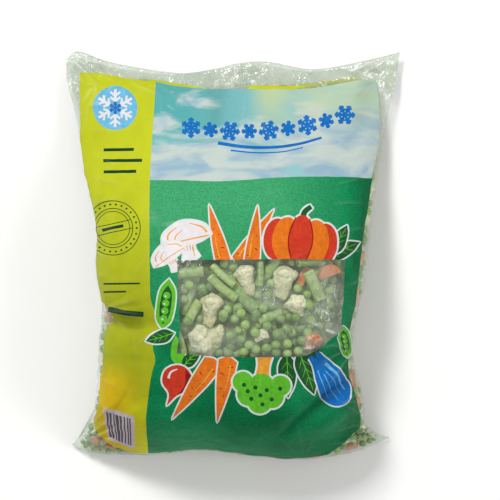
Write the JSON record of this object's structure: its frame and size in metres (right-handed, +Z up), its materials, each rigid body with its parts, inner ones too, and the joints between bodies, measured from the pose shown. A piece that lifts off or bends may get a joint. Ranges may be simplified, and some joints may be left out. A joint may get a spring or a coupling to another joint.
{
  "type": "frozen vegetable bag",
  "caption": "Printed clear-film pillow bag of loose frozen mixed vegetables with a see-through window, welded shut and lying on its back.",
  "frame": {"origin": "middle of the bag's footprint, on the surface it lies on", "axes": "+X to the right of the print, +Y towards the top weld, +Z up out of the printed front"},
  "size_m": [0.2884, 0.3538, 0.1134],
  "materials": {
    "clear_film": "clear thin poly film, glossy, slightly milky and crinkled",
    "printed_film": "printed thin poly film, satin gloss, green with a yellow side band and a pale blue sky band",
    "peas": "frozen green peas, dull with a light frost",
    "green_beans": "frozen cut green beans, dull with a light frost",
    "cauliflower": "frozen cauliflower florets, matt cream",
    "carrots": "frozen carrot pieces, matt orange with a light frost",
    "packed_core": "shaded inner heap of frozen vegetables"
  },
  "bodies": {
    "root": {"bag": "clear_film"}
  },
  "joints": []
}
